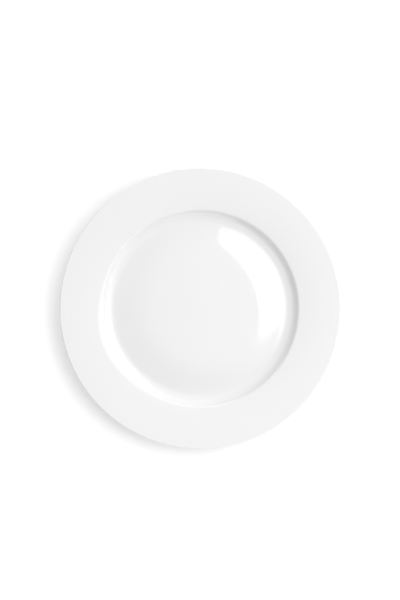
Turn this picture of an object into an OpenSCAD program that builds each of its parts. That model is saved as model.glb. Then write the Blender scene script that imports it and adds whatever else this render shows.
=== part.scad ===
// A round dinner plate of white glazed porcelain, with a broad rim and a shallow well.
// One wall of fired clay carries two coats of glaze, parted by the bare face of the foot.
// Each piece is one outline turned about the plate's axis. +Z is up, and the origin lies
// on the table, under the middle of the plate.

/* [Plate] */
// Diameter of the whole plate
plate_d = 270; // [230:1:330]
// Height of the edge above the table
plate_h = 20; // [17:0.5:28]

/* [Rim] */
// Width of the rim, from the verge of the well to the edge
rim_w = 40; // [30:0.5:55]
// Slope of the rim beside the edge, in degrees
rim_slope = 6.6; // [2:0.2:9]
// Slope of the rim beside the verge, in degrees
verge_slope = 10; // [7:0.5:14]
// Distance from the verge to the bend between those two slopes
bend_w = 15.5; // [8:0.5:18]
// Radius of that bend
bend_r = 440; // [60:5:600]
// Thickness of the rim at the edge
edge_t = 3.2; // [2.8:0.1:4.4]
// Radius of the edge's upper corner
edge_top_r = 0.7; // [0.4:0.1:1.2]
// Radius of the edge's lower corner
edge_back_r = 1.5; // [0.6:0.1:1.7]
// Thickness of the rim at the verge
verge_t = 4.6; // [3.6:0.1:5.6]
// Radius of the verge, where the rim turns down into the well
verge_r = 3; // [1.5:0.5:6]

/* [Well] */
// Distance that the wall of the well runs inwards on its way down
wall_w = 3.4; // [2.6:0.1:7]
// Thickness of the wall of the well
wall_t = 4.4; // [3.4:0.1:5.4]
// Radius of the hollow at the foot of the wall
wall_foot_r = 6.5; // [3:0.5:9]
// Distance from the foot of the wall to the groove, the lowest ring of the well
groove_w = 7.4; // [5:0.1:12]
// Slope of the floor from the groove up to the foot of the wall, in degrees
groove_slope = 10; // [4:0.5:16]
// Radius of the groove
groove_r = 15; // [10:1:40]
// Thickness of the floor under the groove
floor_t = 4.2; // [3.6:0.1:6]
// Slope of the floor from its middle down to the groove, in degrees
floor_slope = 5.35; // [1:0.05:7]
// Diameter at which the floor bends down from its level middle
middle_d = 114; // [70:1:140]
// Radius of that bend
middle_bend_r = 165; // [60:5:400]

/* [Foot] */
// Distance from the foot of the wall to the middle of the foot ring
foot_inset = 12; // [11:0.5:20]
// Width of the foot ring at the table
foot_w = 4.6; // [3.4:0.1:7]
// Height of the back of the plate above the table, beside the foot ring
foot_h = 2.4; // [2:0.1:4]
// Lean of both sides of the foot ring, in degrees
foot_lean = 25; // [5:1:40]
// Radius of the foot ring's two lower corners
foot_round = 0.8; // [0.2:0.1:1.2]
// Radius of the hollows where the foot ring leaves the back
foot_hollow = 1.6; // [0.4:0.1:3]
// Rise of the back from the foot ring to the middle
base_rise = 1.6; // [0:0.1:2.4]
// Radius of the back where the floor turns up behind the wall
back_r = 8; // [4:0.5:12]
// Radius of the back where the wall turns out under the rim
back_verge_r = 5; // [2:0.5:9]

/* [Glaze] */
// Thickness of the glaze
glaze_t = 0.3; // [0.1:0.05:0.6]
// Height of the bare clay on the sides of the foot ring
bare_h = 1; // [0.6:0.1:1.5]

/* [Hidden] */

// Rings in the curve of the base
base_rings = 24;
// Turn from one ring of a fillet to the next, within its shortest and longest chord
fillet_step = 4;
short_chord = 0.2;
long_chord = 2.4;
// Sides of a full turn about the plate's axis
turn_sides = 240;
// Points closer than this are one point
merge_gap = 0.01;
// A turn of fewer degrees than this needs no fillet
straight = 0.05;

edge_r = plate_d / 2;
verge_at = edge_r - rim_w;
wall_foot_at = verge_at - wall_w;
groove_at = wall_foot_at - groove_w;
middle_r = middle_d / 2;
foot_mid = wall_foot_at - foot_inset;
foot_out = foot_mid + foot_w / 2;
foot_in = foot_mid - foot_w / 2;
foot_flare = tan(foot_lean);
base_r = foot_in - foot_h * foot_flare;

// The rim's slope and the upright edge meet above the rounded edge
edge_z = plate_h + edge_top_r * (tan(rim_slope) + 1 / cos(rim_slope) - 1);
bend_z = edge_z - (rim_w - bend_w) * tan(rim_slope);
verge_z = bend_z - bend_w * tan(verge_slope);

// The floor rests on the foot's height, and the wall joins its outside to the verge
groove_z = foot_h + floor_t;
wall_foot_z = groove_z + groove_w * tan(groove_slope);
middle_z = groove_z + (groove_at - middle_r) * tan(floor_slope);
wall_slope = atan2(verge_z - wall_foot_z, wall_w);

// Height of the back inside the foot ring, at radius r
function base_z(r) = foot_h + base_rise * (1 - pow(r / base_r, 2));

// A corner is [radius, height, fillet], and a path is a list of points [radius, height]
function spot(c) = [c.x, c.y];
function along(v) = v / norm(v);
function swung(v, a) = [v.x * cos(a) - v.y * sin(a), v.x * sin(a) + v.y * cos(a)];
// A step turned a quarter clockwise, which points into the wall of the plate
function wallward(v) = [v.y, -v.x];
// Where the line through a along u crosses the line through b along v
function meet(a, u, b, v) = a + u * cross(b - a, v) / cross(u, v);

// Half the angle between the two lines that meet at corner i
function half_angle(c, i) =
    let (back = spot(c[i - 1]) - spot(c[i]), on = spot(c[i + 1]) - spot(c[i]))
    atan2(abs(cross(back, on)), back * on) / 2;

// Length that the fillet of corner i takes from each of its lines
function reach(c, i) =
    i == 0 || i == len(c) - 1 || c[i].z == 0 || 180 - 2 * half_angle(c, i) < straight
        ? 0
        : c[i].z / tan(half_angle(c, i));

// Two fillets that share a line shrink together until both fit on it
function room(c, i) =
    let (taken = reach(c, i) + reach(c, i + 1))
    taken == 0 ? 1 : min(1, norm(spot(c[i + 1]) - spot(c[i])) / taken);

function fillet(c, i) =
    let (
        corner = spot(c[i]),
        back = along(spot(c[i - 1]) - corner),
        on = along(spot(c[i + 1]) - corner),
        half = half_angle(c, i),
        cut = reach(c, i) * min(room(c, i - 1), room(c, i)),
        centre = corner + along(back + on) * cut / cos(half),
        turn = 180 - 2 * half,
        length = cut * tan(half) * turn * PI / 180,
        steps = ceil(max(length / long_chord, min(turn / fillet_step, length / short_chord))),
        way = -sign(cross(back, on)) * turn / steps
    )
    [for (k = [0:steps]) centre + swung(corner + back * cut - centre, way * k)];

function distinct(path) =
    [for (i = [0:len(path) - 1]) if (i == 0 || norm(path[i] - path[i - 1]) > merge_gap) path[i]];

function rounded(c) = distinct([
    for (i = [0:len(c) - 1]) each reach(c, i) == 0 ? [spot(c[i])] : fillet(c, i)
]);

// The path moved into the wall by t, with every line of it kept parallel
function inset(path, t) = [
    for (i = [0:len(path) - 1])
        let (
            from = max(i, 1),
            to = min(i, len(path) - 2),
            before = wallward(along(path[from] - path[from - 1])),
            after = wallward(along(path[to + 1] - path[to])),
            moved = path[i] + (before + after) * t / (1 + before * after)
        )
        [path[i].x == 0 ? 0 : moved.x, moved.y]
];

function reversed(path) = [for (i = [len(path) - 1:-1:0]) path[i]];

// The back of the wall runs beside its face, and the back of the rim thins to the edge
wall_way = [cos(wall_slope), sin(wall_slope)];
wall_back = [wall_foot_at, wall_foot_z] + wallward(wall_way) * wall_t;
rim_back = [edge_r, edge_z - edge_t];
rim_back_way = rim_back - [verge_at, verge_z - verge_t];
back_low = meet(wall_back, wall_way, [wall_foot_at, foot_h], [1, 0]);
back_high = meet(wall_back, wall_way, rim_back, rim_back_way);

// Face of the outer glaze: floor, wall, rim, edge, back, outer side of the foot
outer_face = rounded([
    [0, middle_z, 0],
    [middle_r, middle_z, middle_bend_r],
    [groove_at, groove_z, groove_r],
    [wall_foot_at, wall_foot_z, wall_foot_r],
    [verge_at, verge_z, verge_r],
    [verge_at + bend_w, bend_z, bend_r],
    [edge_r, edge_z, edge_top_r],
    [edge_r, edge_z - edge_t, edge_back_r],
    [back_high.x, back_high.y, back_verge_r],
    [back_low.x, back_low.y, back_r],
    [foot_out + foot_h * foot_flare, foot_h, foot_hollow],
    [foot_out + bare_h * foot_flare, bare_h, 0]
]);

// Face of the base glaze: foot's inner side, then the back from the ring to the middle
base_face = rounded([
    [foot_in - bare_h * foot_flare, bare_h, 0],
    [base_r, foot_h, foot_hollow],
    for (i = [base_rings - 1:-1:0])
        let (r = base_r * i / base_rings)
        [r, base_z(r), 0]
]);

outer_clay = inset(outer_face, glaze_t);
base_clay = inset(base_face, glaze_t);

// The bare foot: the clay's own two sides run on down to the face that meets the table
foot_start = outer_clay[len(outer_clay) - 1];
foot_end = base_clay[0];
foot_face = rounded([
    [foot_start.x, foot_start.y, 0],
    [foot_start.x - foot_start.y * foot_flare, 0, foot_round],
    [foot_end.x + foot_end.y * foot_flare, 0, foot_round],
    [foot_end.x, foot_end.y, 0]
]);

module turned(outline) {
    rotate_extrude($fn = turn_sides) polygon(outline);
}

// Fired clay: floor, wall, rim and foot ring in one piece, bare only on the foot's face
module porcelain_body() {
    color([0.9, 0.88, 0.84])
        turned(distinct(concat(outer_clay, foot_face, base_clay)));
}

// Clear glossy glaze over the clay, from the foot's outer side round the edge to the well
module outer_glaze() {
    color([0.95, 0.95, 0.94])
        turned(concat(outer_face, reversed(outer_clay)));
}

// The same glaze in the hollow inside the foot ring
module base_glaze() {
    color([0.93, 0.93, 0.92])
        turned(concat(base_face, reversed(base_clay)));
}

porcelain_body();
outer_glaze();
base_glaze();
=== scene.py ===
# A white glazed porcelain dinner plate on a white table, seen from straight above.
# Lengths are metres in the part's own frame: +Z is up, the origin lies on the table under
# the middle of the plate, +X points right in the picture and +Y to its top.
import math

import bpy
import numpy as np
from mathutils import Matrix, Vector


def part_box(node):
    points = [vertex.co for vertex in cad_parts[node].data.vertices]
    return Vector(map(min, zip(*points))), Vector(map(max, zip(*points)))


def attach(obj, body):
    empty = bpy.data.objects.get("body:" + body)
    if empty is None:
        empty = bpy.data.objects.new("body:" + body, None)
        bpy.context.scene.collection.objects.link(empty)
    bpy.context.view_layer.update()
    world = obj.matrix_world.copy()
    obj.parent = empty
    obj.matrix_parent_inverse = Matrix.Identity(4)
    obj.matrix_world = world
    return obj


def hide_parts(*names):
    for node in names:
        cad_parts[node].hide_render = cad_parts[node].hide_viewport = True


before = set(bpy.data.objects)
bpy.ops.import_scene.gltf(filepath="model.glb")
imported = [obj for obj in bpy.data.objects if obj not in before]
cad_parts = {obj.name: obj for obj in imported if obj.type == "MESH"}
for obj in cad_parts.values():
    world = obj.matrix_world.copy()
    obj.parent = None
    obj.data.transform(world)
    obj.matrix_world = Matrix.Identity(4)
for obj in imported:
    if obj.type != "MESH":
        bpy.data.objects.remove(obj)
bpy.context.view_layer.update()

# Porcelain body
# One wall of white clay, pressed and turned in a single piece and then fired: floor, wall,
# rim and foot ring. It stays bare only on the face of the foot ring, which is ground flat.

# Endings: r is a radius, w a width, h a height and t a thickness; at is a distance from the
# axis, and z a height above the table
edge_r, plate_h = (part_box("outer_glaze")[1][i] for i in (0, 2))
glaze_t = 0.0003
rim_w, rim_slope, verge_slope = 0.040, math.radians(6.6), math.radians(10)
bend_w, bend_r = 0.0155, 0.440
edge_t, edge_top_r, edge_back_r = 0.0032, 0.0007, 0.0015
verge_t, verge_r = 0.0046, 0.003
wall_w, wall_t, wall_foot_r = 0.0034, 0.0044, 0.0065
groove_w, groove_slope, groove_r = 0.0074, math.radians(10), 0.015
floor_t, floor_slope = 0.0042, math.radians(5.35)
middle_r, middle_bend_r = 0.0570, 0.165
foot_inset, foot_w, foot_h = 0.012, 0.0046, 0.0024
foot_flare = math.tan(math.radians(25))
foot_round, foot_hollow, bare_h = 0.0008, 0.0016, 0.0010
base_rise, back_r, back_verge_r = 0.0016, 0.008, 0.005
merge_gap, base_steps = 0.000001, 48

verge_at = edge_r - rim_w
wall_foot_at = verge_at - wall_w
groove_at = wall_foot_at - groove_w
foot_mid = wall_foot_at - foot_inset
foot_out, foot_in = foot_mid + foot_w / 2, foot_mid - foot_w / 2
base_r = foot_in - foot_h * foot_flare
edge_z = plate_h + edge_top_r * (math.tan(rim_slope) + 1 / math.cos(rim_slope) - 1)
bend_z = edge_z - (rim_w - bend_w) * math.tan(rim_slope)
verge_z = bend_z - bend_w * math.tan(verge_slope)
groove_z = foot_h + floor_t
wall_foot_z = groove_z + groove_w * math.tan(groove_slope)
wall_slope = math.atan2(verge_z - wall_foot_z, wall_w)
middle_z = groove_z + (groove_at - middle_r) * math.tan(floor_slope)


def unit(v):
    """Each vector over its own length."""
    return v / np.linalg.norm(v, axis=-1, keepdims=True)


def cross(u, v):
    """Area that u and v span in the plane, above zero where v lies to the left of u."""
    return u[..., 0] * v[..., 1] - u[..., 1] * v[..., 0]


def meet(a, u, b, v):
    """Point where the line through a along u crosses the line through b along v: a plus u
    times the area of (b - a, v) over the area of (u, v)."""
    a, u, b, v = map(np.array, (a, u, b, v))
    return a + u * cross(b - a, v) / cross(u, v)


def rounded(corners, turn_step=math.radians(3.4), chord=0.0018):
    """Outline through corners (radius, height, fillet), straight from the first to the last.
    Each corner between is cut back along both of its lines by fillet / tan(half its angle),
    and the circle arc there, stepped by turn_step or chord, joins the cuts. Long lines are
    stepped by three chords."""
    line_step = 3 * chord
    corners = np.array(corners, float)
    spots, fillets = corners[:, :2], corners[:, 2]
    runs = [spots[:1]]
    for i in range(1, len(spots) - 1):
        back, on = unit(spots[i - 1] - spots[i]), unit(spots[i + 1] - spots[i])
        half = math.atan2(abs(cross(back, on)), back @ on) / 2
        cut = fillets[i] / math.tan(half)
        centre = spots[i] + unit(back + on) * cut / math.cos(half)
        turn = math.pi - 2 * half
        steps = math.ceil(turn * max(fillets[i] / chord, 1 / turn_step))
        swing = -np.sign(cross(back, on)) * np.linspace(0, turn, steps + 1)[:, None]
        arm = spots[i] + back * cut - centre
        side = np.array([-arm[1], arm[0]])
        runs.append(centre + arm * np.cos(swing) + side * np.sin(swing))
    path = np.concatenate([*runs, spots[-1:]])
    gaps = np.linalg.norm(np.diff(path, axis=0), axis=1)
    path = path[np.append(True, gaps > merge_gap)]
    lengths = np.append(0, np.cumsum(np.linalg.norm(np.diff(path, axis=0), axis=1)))
    extra = [
        np.linspace(a, b, math.ceil((b - a) / line_step) + 1)[1:-1]
        for a, b in zip(lengths[:-1], lengths[1:])
    ]
    stops = np.sort(np.concatenate([lengths, *extra]))
    return np.stack([np.interp(stops, lengths, path[:, k]) for k in (0, 1)], axis=1)


def inset(path, depth):
    """The outline moved to its right, into the wall, with every line kept parallel: each
    point goes depth times the sum of both its lines' right-hand unit vectors, over one plus
    the cosine of the turn between them."""
    ways = unit(np.diff(path, axis=0))
    right = np.stack([ways[:, 1], -ways[:, 0]], axis=1)
    before, after = np.vstack([right[:1], right]), np.vstack([right, right[-1:]])
    share = 1 + np.sum(before * after, axis=1, keepdims=True)
    moved = path + (before + after) * depth / share
    moved[path[:, 0] == 0, 0] = 0
    return moved


# On the back, the wall of the well runs parallel to its face, and the rim thins from the
# verge to the edge
wall_way = np.array([math.cos(wall_slope), math.sin(wall_slope)])
wall_back = (wall_foot_at + wall_way[1] * wall_t, wall_foot_z - wall_way[0] * wall_t)
rim_back = (edge_r, edge_z - edge_t)
rim_back_way = (rim_w, edge_z - edge_t - (verge_z - verge_t))
outer_face = rounded(
    [
        (0, middle_z, 0),
        (middle_r, middle_z, middle_bend_r),
        (groove_at, groove_z, groove_r),
        (wall_foot_at, wall_foot_z, wall_foot_r),
        (verge_at, verge_z, verge_r),
        (verge_at + bend_w, bend_z, bend_r),
        (edge_r, edge_z, edge_top_r),
        (edge_r, edge_z - edge_t, edge_back_r),
        (*meet(wall_back, wall_way, rim_back, rim_back_way), back_verge_r),
        (*meet(wall_back, wall_way, (0, foot_h), (1, 0)), back_r),
        (foot_out + foot_h * foot_flare, foot_h, foot_hollow),
        (foot_out + bare_h * foot_flare, bare_h, 0),
    ]
)

# Inside the foot the back rises to the middle as a parabola
base_rings = np.linspace(base_r, 0, base_steps)
base_z = foot_h + base_rise * (1 - (base_rings / base_r) ** 2)
base_curve = np.stack([base_rings, base_z], axis=1)
foot_side = rounded(
    [
        (foot_in - bare_h * foot_flare, bare_h, 0),
        (*base_curve[0], foot_hollow),
        (*base_curve[1], 0),
    ]
)
base_face = np.vstack([foot_side, base_curve[2:]])
outer_clay, base_clay = inset(outer_face, glaze_t), inset(base_face, glaze_t)
foot_start, foot_end = outer_clay[-1], base_clay[0]
foot_face = rounded(
    [
        (*foot_start, 0),
        (foot_start[0] - foot_start[1] * foot_flare, 0, foot_round),
        (foot_end[0] + foot_end[1] * foot_flare, 0, foot_round),
        (*foot_end, 0),
    ],
    turn_step=math.radians(8),
)

sides = 240
around = np.linspace(0, 2 * np.pi, sides, endpoint=False)


def turned(name, outline, sway=0):
    """Closed solid of revolution. Outline point i goes round as (r cos a, r sin a, z), where
    (r, z) is the point plus its sway at the angle a. Both ends of the outline are poles."""
    ring = outline[1:-1, None, :] + sway + np.zeros((1, sides, 1))
    r, z = ring[..., 0], ring[..., 1]
    skin = np.stack([r * np.cos(around), r * np.sin(around), z], axis=-1).reshape(-1, 3)
    poles = [[0, 0, outline[0, 1]], [0, 0, outline[-1, 1]]]
    here = np.arange(len(skin)).reshape(-1, sides)
    beside = np.roll(here, -1, axis=1)
    quads = np.stack([here[:-1], here[1:], beside[1:], beside[:-1]], axis=-1).reshape(-1, 4)
    low, high = np.full(sides, len(skin)), np.full(sides, len(skin) + 1)
    caps = [
        *np.stack([low, here[0], beside[0]], axis=1).tolist(),
        *np.stack([here[-1], high, beside[-1]], axis=1).tolist(),
    ]
    mesh = bpy.data.meshes.new(name)
    mesh.from_pydata(np.vstack([skin, poles]).tolist(), [], quads.tolist() + caps)
    mesh.shade_smooth()
    mesh.set_sharp_from_angle(angle=math.radians(50))
    piece = bpy.data.objects.new(name, mesh)
    bpy.context.scene.collection.objects.link(piece)
    return piece


class Wire:
    """A shader socket that takes part in Python arithmetic: each step adds a Math node."""

    def __init__(self, finish, socket):
        self.finish, self.socket = finish, socket

    def math(self, operation, a, b):
        return self.finish.node("Math", {"operation": operation}, {0: a, 1: b})

    def __add__(self, other):
        return self.math("ADD", self, other)

    def __sub__(self, other):
        return self.math("SUBTRACT", self, other)

    def __rsub__(self, other):
        return self.math("SUBTRACT", other, self)

    def __mul__(self, other):
        return self.math("MULTIPLY", self, other)

    def __pow__(self, other):
        return self.math("POWER", self, other)

    def above(self, least):
        """The value, or the least one where it falls below that."""
        return self.math("MAXIMUM", self, least)

    __radd__, __rmul__ = __add__, __mul__


class Finish:
    """A material, a lamp or the world, whose nodes are added one call at a time."""

    def __init__(self, owner):
        owner.use_nodes = True
        self.owner, self.tree = owner, owner.node_tree
        self.tree.nodes.clear()

    def node(self, kind, settings=None, sockets=None, out=0):
        """Adds a node, sets it up, fills or links its sockets, and gives one output."""
        made = self.tree.nodes.new("ShaderNode" + kind)
        for key, value in (settings or {}).items():
            setattr(made, key, value)
        for key, value in (sockets or {}).items():
            if isinstance(value, Wire):
                self.tree.links.new(value.socket, made.inputs[key])
            else:
                made.inputs[key].default_value = value
        return Wire(self, made.outputs[out]) if made.outputs else made

    def place(self):
        """Where the surface is, in metres."""
        return self.node("TexCoord", out="Object")

    def noise(self, scale, detail, roughness):
        """Soft random values of about 0.5, with `scale` patches to the metre."""
        return self.node(
            "TexNoise",
            {},
            {"Vector": self.place(), "Scale": scale, "Detail": detail, "Roughness": roughness},
        )

    def smooth(self, value, low, high):
        """A soft step, from 0 where the value is low to 1 where it is high."""
        limits = {0: value, 1: low, 2: high, 3: 0.0, 4: 1.0}
        return self.node("MapRange", {"interpolation_type": "SMOOTHSTEP"}, limits)

    def blend(self, share, a, b):
        """Colour a, turning to colour b as the share goes from 0 to 1."""
        return self.node("Mix", {"data_type": "RGBA"}, {0: share, 6: a, 7: b}, out=2)

    def bump(self, height, depth, beneath=None):
        """Relief of a height from 0 to 1 times depth metres, over the one beneath."""
        sockets = {"Height": height, "Distance": depth}
        if beneath:
            sockets["Normal"] = beneath
        return self.node("Bump", {}, sockets)


def bare_clay():
    """Fine matte clay, warmer than the glaze, with a fine grain and grey rubbed patches that
    are a little smoother."""
    grain_depth, rub_share = 0.00003, 0.35
    matte, rub_polish = 0.82, 0.2
    grain_dark, grain_light = (0.70, 0.67, 0.61, 1), (0.84, 0.82, 0.77, 1)
    rub_grey = (0.48, 0.46, 0.43, 1)
    finish = Finish(bpy.data.materials.new("bare_clay"))
    grain = finish.noise(2600, detail=3, roughness=0.6)
    patches = finish.noise(140, detail=4, roughness=0.6)
    rubbed = finish.smooth(patches, low=0.5, high=0.72)
    clay = finish.blend(grain, grain_dark, grain_light)
    shader = finish.node(
        "BsdfPrincipled",
        {},
        {
            "Base Color": finish.blend(rubbed * rub_share, clay, rub_grey),
            "Roughness": matte - rub_polish * rubbed,
            "IOR": 1.5,
            "Normal": finish.bump(grain, grain_depth),
        },
    )
    finish.node("OutputMaterial", {}, {"Surface": shader})
    return finish.owner


body = turned("fired_body", np.vstack([outer_clay, foot_face[1:-1], base_clay]))
body.data.materials.append(bare_clay())
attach(body, "root")
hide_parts("porcelain_body")

# Outer glaze
# A clear glassy coat over the white clay, on the well, the rim, the edge and the back. It
# runs thin over the edges, pools in the hollows, and ends in a bead on the foot's outside.

line_sway, line_fade = 0.00009, 0.0004
bead_bulge = 0.9 * glaze_t


def pooling(outline, window=0.0012):
    """How far the glaze has pooled, from 0 on a sharp edge through 0.5 to 1 in a hollow:
    0.5 plus the angle that the outline turns left by within a window to either side."""
    steps = np.diff(outline, axis=0)
    lengths = np.append(0, np.cumsum(np.linalg.norm(steps, axis=1)))
    heading = np.unwrap(np.arctan2(steps[:, 1], steps[:, 0]))
    middle = (lengths[1:] + lengths[:-1]) / 2
    turn = np.interp(lengths + window, middle, heading) - np.interp(
        lengths - window, middle, heading
    )
    return np.clip(0.5 + turn, 0, 1)


def glaze_line(outline, seed):
    """How the end of a coat wanders: points near its line slide along the foot's side by a
    sum of sines of the angle, each wave's depth over the square root of its count, fading
    out over the next millimetre."""
    rng = np.random.default_rng(seed)
    waves = np.array([2, 3, 5, 8, 13, 21])
    depth = line_sway / np.sqrt(waves)
    phase = rng.uniform(0, 2 * np.pi, len(waves))
    wander = (depth[:, None] * np.sin(np.outer(waves, around) + phase[:, None])).sum(0)
    near = np.exp(-np.clip(outline[:, 1] - bare_h, 0, None) / line_fade)
    near *= np.abs(outline[:, 0] - foot_mid) < foot_w
    slide = near[1:-1, None] * wander
    way = np.where(outline[1:-1, 0] > foot_mid, foot_flare, -foot_flare)
    return np.stack([way[:, None] * slide, slide], axis=-1)


def bead(face_end, clay_end, steps=6):
    """Quarter ellipse from the face of the coat down to the clay it stops on: the angle a
    goes across by 1 - cos a and bulges down the foot's side by sin a."""
    across = clay_end - face_end
    down = unit(np.array([across[1], -across[0]]))
    down = down if down[1] < 0 else -down
    a = np.linspace(0, np.pi / 2, steps + 2)[1:-1, None]
    return face_end + across * (1 - np.cos(a)) + down * bead_bulge * np.sin(a)


def white_glaze():
    """White gloss with faint cloudiness, a breath of grey where it pools, a warmer line
    where it runs thin, slightly uneven polish and a soft ripple like orange peel."""
    pool_share, ripple_depth, pinhole_depth = 0.35, 0.000004, 0.0000003
    polished, unevenness = 0.03, 0.025
    cloud_dark, cloud_light = (0.842, 0.842, 0.840, 1), (0.858, 0.858, 0.856, 1)
    thin_warm, pooled_grey = (0.85, 0.846, 0.838, 1), (0.836, 0.84, 0.842, 1)
    finish = Finish(bpy.data.materials.new("white_glaze"))
    pool = finish.node("Attribute", {"attribute_name": "pool"}, {}, out="Fac")
    cloud = finish.noise(22, detail=3, roughness=0.55)
    polish = finish.noise(55, detail=4, roughness=0.6)
    white = finish.blend(cloud, cloud_dark, cloud_light)
    pooled = finish.blend(pool, thin_warm, pooled_grey)
    ripple = finish.bump(finish.noise(75, detail=1, roughness=0.4), ripple_depth)
    pinholes = finish.noise(420, detail=2, roughness=0.5)
    shader = finish.node(
        "BsdfPrincipled",
        {},
        {
            "Base Color": finish.blend(pool_share, white, pooled),
            "Roughness": polished + unevenness * polish,
            "IOR": 1.52,
            "Normal": finish.bump(pinholes, pinhole_depth, ripple),
        },
    )
    finish.node("OutputMaterial", {}, {"Surface": shader})
    return finish.owner


glaze = white_glaze()


def coat(name, outline, seed):
    """One coat of glaze: its outline turned with a wandering end, and its pooling kept at
    every point for the glaze to read."""
    piece = turned(name, outline, glaze_line(outline, seed))
    pool = pooling(outline)
    values = np.append(np.repeat(pool[1:-1], sides), pool[[0, -1]])
    piece.data.attributes.new("pool", "FLOAT", "POINT").data.foreach_set("value", values)
    piece.data.materials.append(glaze)
    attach(piece, "root")
    return piece


outer_bead = bead(outer_face[-1], outer_clay[-1])
outer_outline = np.vstack([outer_face, outer_bead, outer_clay[::-1]])
outer_coat = coat("outer_coat", outer_outline, seed=3)
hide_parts("outer_glaze")

# Base glaze
# The same coat inside the foot ring, where the plate is dipped and the foot wiped clean. It
# dries over faint rings left by the turning tool.

ring_wave, ring_depth, ring_fade = 0.0045, 0.000012, 0.01
turning = ring_depth * np.cos(2 * np.pi * base_face[:, 0] / ring_wave)
turning *= np.clip((base_r - base_face[:, 0]) / ring_fade, 0, 1)
base_skin = base_face + np.stack([0 * turning, turning], axis=1)
base_bead = bead(base_face[0], base_clay[0])[::-1]
base_outline = np.vstack([base_clay[::-1], base_bead, base_skin])
base_coat = coat("base_coat", base_outline, seed=8)
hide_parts("base_glaze")

# Table
# A smooth white table top, wide enough that no view finds its edge. Seen directly or in a
# reflection it glows a little, more so far off where the lamps don't reach, so that it is
# white where no shadow falls.

table_half, table_paint = 9.0, 0.87
table_glow, far_glow = 0.27, 0.6
near_end, far_start = 0.5, 2.5


def grey(level):
    """An opaque grey of one level in red, green and blue."""
    return (level, level, level, 1)


table_mesh = bpy.data.meshes.new("table_top")
table_mesh.from_pydata(
    [(x * table_half, y * table_half, 0) for x, y in ((-1, -1), (1, -1), (1, 1), (-1, 1))],
    [],
    [(0, 1, 2, 3)],
)
table_top = bpy.data.objects.new("table_top", table_mesh)
bpy.context.scene.collection.objects.link(table_top)
finish = Finish(bpy.data.materials.new("table_white"))
rays = ("Is Camera Ray", "Is Glossy Ray", "Is Transmission Ray")
seen = sum(finish.node("LightPath", out=ray) for ray in rays)
paint = finish.node("BsdfDiffuse", {}, {"Color": grey(table_paint)})
middle_distance = finish.node("VectorMath", {"operation": "LENGTH"}, {0: finish.place()}, out=1)
far_off = finish.smooth(middle_distance, near_end, far_start)
glow_tone = finish.blend(far_off, grey(table_glow), grey(far_glow))
glow = finish.node("Emission", {}, {"Color": glow_tone, "Strength": 1.0})
glowing = finish.node("AddShader", {}, {0: paint, 1: glow})
shown = finish.node("MixShader", {}, {0: seen, 1: paint, 2: glowing})
finish.node("OutputMaterial", {}, {"Surface": shown})
table_top.data.materials.append(finish.owner)

# Light
# A three-cornered sheet of light hangs to the upper right, with its long side just off the
# camera's line. Softer boxes hang beyond it and on both sides of it, a tall panel stands to
# the right, and a low one below the picture. The room is grey, brighter to the upper right.

box_azimuth = 19.8
corner_fade = 0.3
room_grey, room_lift, lift_azimuth = 0.38, 0.40, 60
horizon_light, horizon_narrowing = 1.85, 4
ceiling_light, ceiling_narrowing, ceiling_azimuth, ceiling_end = 0.38, 12, 20, -0.3


def panel(name, azimuth, near, right, size, radiance, height=1.0, tilt=0):
    """A rectangular lamp, size (out, across) metres. Level, it faces down, and its near edge
    is `near` metres out along the azimuth, or behind the axis where that is below zero. With
    a tilt of 90 degrees it stands upright there and faces the axis. Its right-hand edge is
    `right` metres to the right of the azimuth's line. Its power is radiance x area x pi."""
    turn = math.radians(azimuth)
    out, left = (math.cos(turn), math.sin(turn)), (-math.sin(turn), math.cos(turn))
    lamp = bpy.data.lights.new(name, "AREA")
    lamp.shape, lamp.size, lamp.size_y = "RECTANGLE", *size
    lamp.energy = radiance * size[0] * size[1] * math.pi
    far = near if tilt else near + size[0] / 2
    side = size[1] / 2 - right
    holder = bpy.data.objects.new(name, lamp)
    holder.location = (*(far * o + side * s for o, s in zip(out, left)), height)
    holder.rotation_euler = (0, math.radians(tilt), turn)
    holder.visible_camera = False
    bpy.context.scene.collection.objects.link(holder)
    return lamp


sheet = panel("soft_sheet", -27.5, near=-0.089, right=0.053, size=(0.400, 0.369), radiance=2.5)
panel("far_box", box_azimuth, near=0.42, right=0.35, size=(0.7, 0.8), radiance=1.9)
panel("right_box", box_azimuth, near=0.3, right=0.8, size=(0.8, 0.5), radiance=2.2)
panel("left_box", box_azimuth, near=0.1, right=-0.36, size=(0.8, 0.5), radiance=1.1)
panel("tall_panel", 0, near=2, right=0.825, size=(0.9, 1.65), radiance=1.6, height=1.05, tilt=90)
panel("low_panel", 270, near=2, right=0.825, size=(0.6, 1.65), radiance=3, height=0.3, tilt=90)

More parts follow.
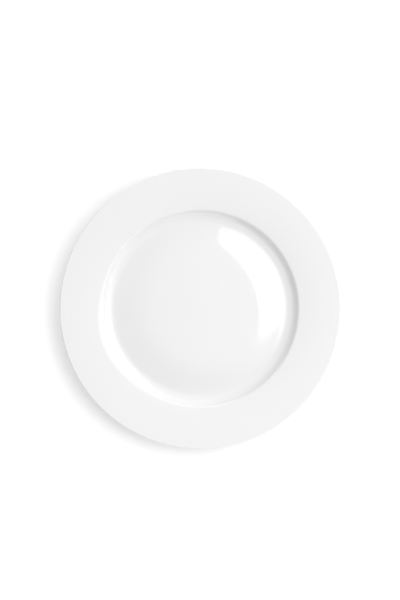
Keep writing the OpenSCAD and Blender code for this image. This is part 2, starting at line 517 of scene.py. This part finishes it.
# Half of the sheet's rectangle is masked off along the diagonal, and its lower corner fades
mask = Finish(sheet)
spot = mask.node("NewGeometry", out="Parametric")
along, over = (mask.node("SeparateXYZ", {}, {"Vector": spot}, out=axis) for axis in (0, 1))
open_half = mask.node("Math", {"operation": "GREATER_THAN"}, {0: along + over, 1: 1.0})
fading = mask.smooth(over, low=0.0, high=corner_fade)
shining = mask.node("Emission", {}, {"Strength": open_half * fading})
mask.node("OutputLight", {}, {"Surface": shining})

# The room is lit more from the upper right, all along the horizon beyond the picture's top,
# and overhead on the right. Seen straight by the camera it is plain white
room = Finish(bpy.data.worlds.new("room"))
way = room.node("TexCoord", out="Generated")
east, north, up = (room.node("SeparateXYZ", {}, {"Vector": way}, out=axis) for axis in range(3))


def toward(azimuth):
    """Cosine of the angle between the way seen and a level line along the azimuth."""
    turn = math.radians(azimuth)
    return math.cos(turn) * east + math.sin(turn) * north


upper_right = room.smooth(toward(lift_azimuth), low=-1.0, high=1.0)
steepness = room.node("Math", {"operation": "ABSOLUTE"}, {0: up})
beyond = (1 - steepness) ** horizon_narrowing * north.above(0)
right_half = room.smooth(toward(ceiling_azimuth), low=ceiling_end, high=0.0)
overhead = up.above(0) ** ceiling_narrowing * right_half
lit = room_grey + room_lift * upper_right + horizon_light * beyond + ceiling_light * overhead
in_view = room.node("LightPath", out="Is Camera Ray")
shown = lit + in_view * (1 - lit)
sky = room.node("Background", {}, {"Color": grey(1), "Strength": shown})
room.node("OutputWorld", {}, {"Surface": sky})
bpy.context.scene.world = room.owner

# Camera
# Straight above the table with a long lens. The plate sits a little under the middle of the
# picture: its centre is at pixel (200.2, 308.5), and its edge is 140.3 pixels away from it.

picture_w, picture_h = 400, 600
centre_x, centre_y, edge_px = 200.2, 308.5, 140.3
camera_h, sensor, mm = 1.5, 0.036, 0.001
widest_z = edge_z - edge_t / 2
metres_per_px = edge_r / edge_px
lens = sensor * (camera_h - widest_z) / (picture_h * metres_per_px)
camera = bpy.data.objects.new("camera", bpy.data.cameras.new("camera"))
camera.data.sensor_width, camera.data.lens = sensor / mm, lens / mm
camera.location = (
    (picture_w / 2 - centre_x) * metres_per_px,
    (centre_y - picture_h / 2) * metres_per_px,
    camera_h,
)
bpy.context.scene.collection.objects.link(camera)
bpy.context.scene.camera = camera
bpy.context.scene.view_settings.view_transform = "Standard"
